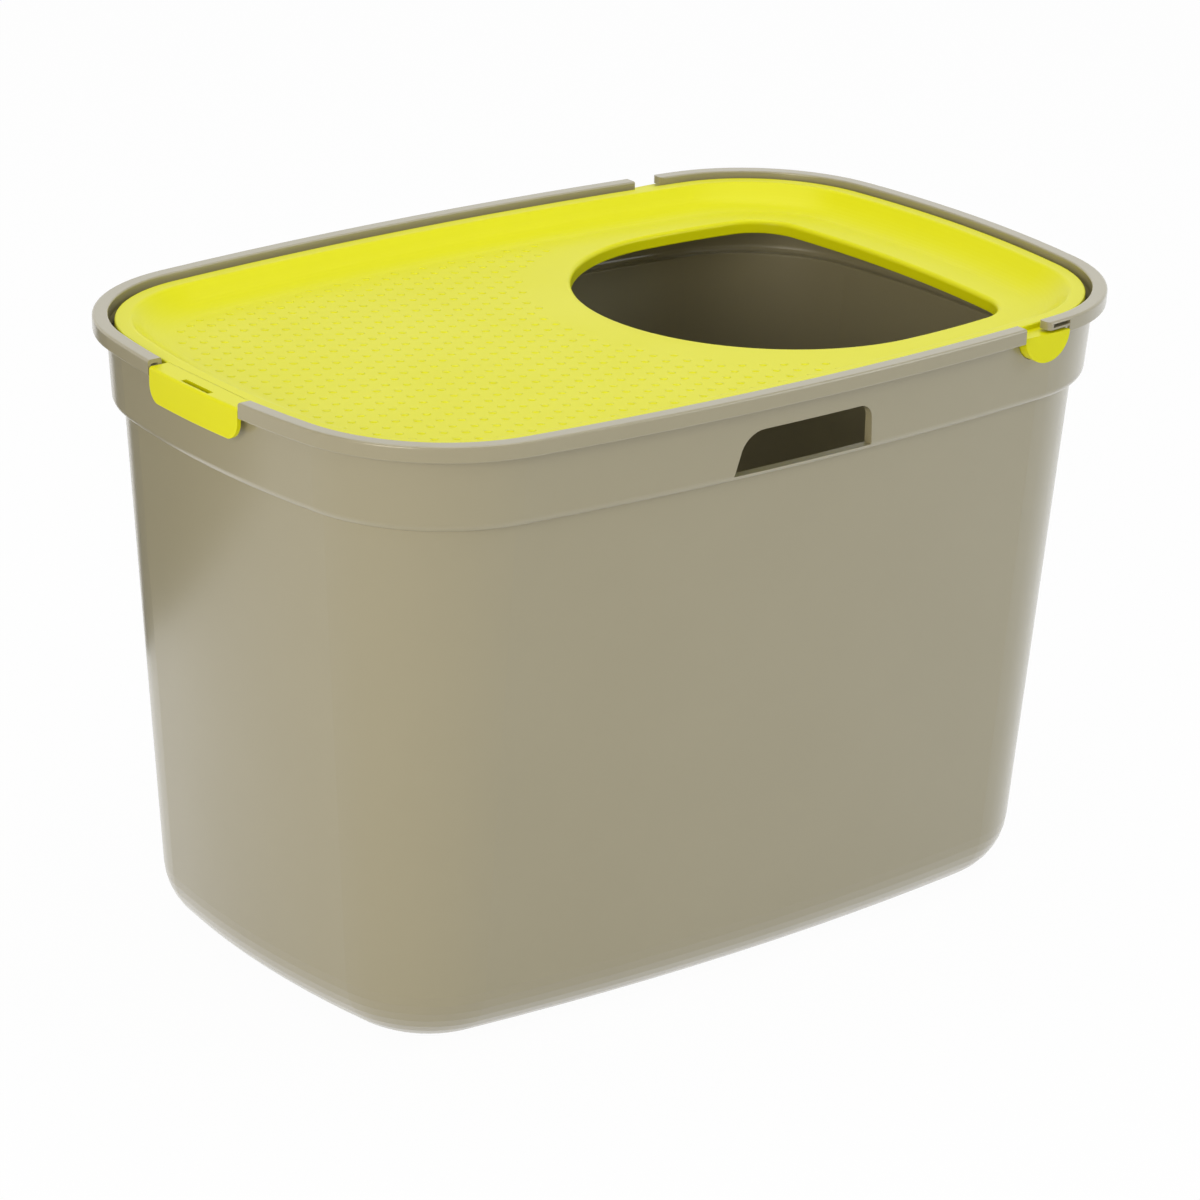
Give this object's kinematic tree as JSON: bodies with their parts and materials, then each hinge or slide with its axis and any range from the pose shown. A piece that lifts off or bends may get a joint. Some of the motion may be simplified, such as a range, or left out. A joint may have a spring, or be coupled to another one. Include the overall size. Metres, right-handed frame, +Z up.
{
  "type": "top entry litter box",
  "caption": "Deep stepped bin with a dished swing lid that has a D-shaped entry hole, held by half-round trunnions at one end and a snap latch tab at the other.",
  "frame": {"origin": "on the floor under the middle of the bin", "axes": "+X along the length towards the hinge end with the entry hole, -X towards the latch tab, +Y across, +Z up; the part is the same on both sides of the XZ plane"},
  "size_m": [0.59, 0.3878, 0.3825],
  "materials": {
    "bin_plastic": "satin moulded",
    "lid_plastic": "satin moulded"
  },
  "bodies": {
    "bin": {"bin": "bin_plastic"},
    "lid": {"lid": "lid_plastic"},
    "latch_tab": {"latch_tab": "lid_plastic"}
  },
  "joints": [
    {"name": "lid_hinge", "type": "hinge", "parent": "bin", "child": "lid", "pos_m": [0.1805, 0, 0.376], "axis": [0, 1, 0], "range_deg": [0, 92]},
    {"name": "latch_flex", "type": "hinge", "parent": "lid", "child": "latch_tab", "pos_m": [-0.2806, 0, 0.37785], "axis": [0, 1, 0], "range_deg": [0, 12], "stiffness_Nm_per_rad": 1.5}
  ]
}
